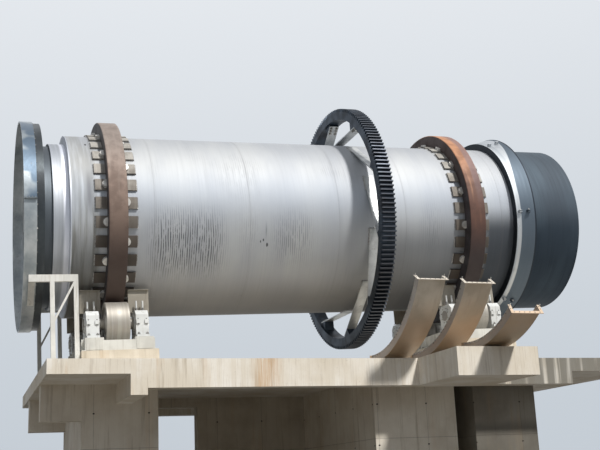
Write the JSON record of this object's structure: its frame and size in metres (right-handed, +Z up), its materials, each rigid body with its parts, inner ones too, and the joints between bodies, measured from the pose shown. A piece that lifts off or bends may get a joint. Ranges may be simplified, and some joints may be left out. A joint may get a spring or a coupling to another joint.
{
  "type": "rotary kiln on its pier deck",
  "caption": "Two-station rotary kiln: steel drum with tyres, girth gear on spring plates and support rollers, on a concrete pier deck.",
  "frame": {"origin": "centre of the foot of pier 1 on the ground, straight below the middle of tyre 1", "axes": "+X along the deck towards the feed end, which the drum climbs to; +Y away from the front block; +Z up"},
  "size_m": [14.7586, 11.1226, 11.422],
  "materials": {
    "shell_steel": "bare plate, rain streaked",
    "nose_steel": "smooth, bright",
    "sleeve_steel": "satin grey",
    "tyre_primer": "red-brown primer, rusting",
    "pad_steel": "mill scale, dull",
    "stop_steel": "mill scale, dull",
    "gear_steel": "dark, machined teeth",
    "spring_steel": "light grey primer",
    "roller_steel": "machined, greased",
    "bearing_paint": "white paint",
    "shield_paint": "beige paint",
    "frame_paint": "white paint",
    "seal_paint": "grey-beige paint",
    "guard_paint": "beige-grey primer",
    "concrete": "board-marked cast concrete"
  },
  "bodies": {
    "foundation": {"bearings_1_front": "bearing_paint", "bearings_1_rear": "bearing_paint", "bearings_2_front": "bearing_paint", "bearings_2_rear": "bearing_paint", "heat_shields_1": "shield_paint", "heat_shields_2": "shield_paint", "base_frame_1": "frame_paint", "base_frame_2": "frame_paint", "plinth_1": "concrete", "plinth_2": "concrete", "deck_slab": "concrete", "deck_front_beam": "concrete", "deck_rear_beam": "concrete", "deck_cross_beams": "concrete", "front_block": "concrete", "pier_1": "concrete", "door_wall": "concrete", "back_wall": "concrete", "drive_pier": "concrete", "pier_2": "concrete", "seal_housing": "seal_paint", "seal_supports": "frame_paint", "guard_segment_1": "guard_paint", "guard_segment_2": "guard_paint", "guard_segment_3": "guard_paint"},
    "kiln": {"nose_ring": "nose_steel", "shell_discharge": "shell_steel", "shell_tyre_1": "shell_steel", "shell_middle": "shell_steel", "shell_gear": "shell_steel", "shell_tyre_2": "shell_steel", "shell_feed": "shell_steel", "cooling_sleeve": "sleeve_steel", "tyre_1": "tyre_primer", "tyre_2": "tyre_primer", "pads_1": "pad_steel", "pads_2": "pad_steel", "stop_blocks_1": "stop_steel", "stop_blocks_2": "stop_steel", "girth_gear": "gear_steel", "spring_plates": "spring_steel"},
    "roller_1_front_body": {"roller_1_front": "roller_steel"},
    "roller_1_rear_body": {"roller_1_rear": "roller_steel"},
    "roller_2_front_body": {"roller_2_front": "roller_steel"},
    "roller_2_rear_body": {"roller_2_rear": "roller_steel"}
  },
  "joints": [
    {"name": "kiln_spin", "type": "hinge", "parent": "foundation", "child": "kiln", "pos_m": [0, 0, 7.95386], "axis": [0.9994, 0, 0.035], "continuous": true},
    {"name": "roller_1_front_spin", "type": "hinge", "parent": "foundation", "child": "roller_1_front_body", "pos_m": [0.09423, -1.5553, 5.26165], "axis": [0.9994, 0, 0.035], "continuous": true},
    {"name": "roller_1_rear_spin", "type": "hinge", "parent": "foundation", "child": "roller_1_rear_body", "pos_m": [0.09423, 1.5553, 5.26165], "axis": [0.9994, 0, 0.035], "continuous": true},
    {"name": "roller_2_front_spin", "type": "hinge", "parent": "foundation", "child": "roller_2_front_body", "pos_m": [9.23863, -1.5553, 5.5817], "axis": [0.9994, 0, 0.035], "continuous": true},
    {"name": "roller_2_rear_spin", "type": "hinge", "parent": "foundation", "child": "roller_2_rear_body", "pos_m": [9.23863, 1.5553, 5.5817], "axis": [0.9994, 0, 0.035], "continuous": true}
  ],
  "couplings": [
    {"joint": "roller_1_front_spin", "follows": "kiln_spin", "ratio": -5.2206},
    {"joint": "roller_1_rear_spin", "follows": "kiln_spin", "ratio": -5.2206},
    {"joint": "roller_2_front_spin", "follows": "kiln_spin", "ratio": -5.2206},
    {"joint": "roller_2_rear_spin", "follows": "kiln_spin", "ratio": -5.2206}
  ]
}
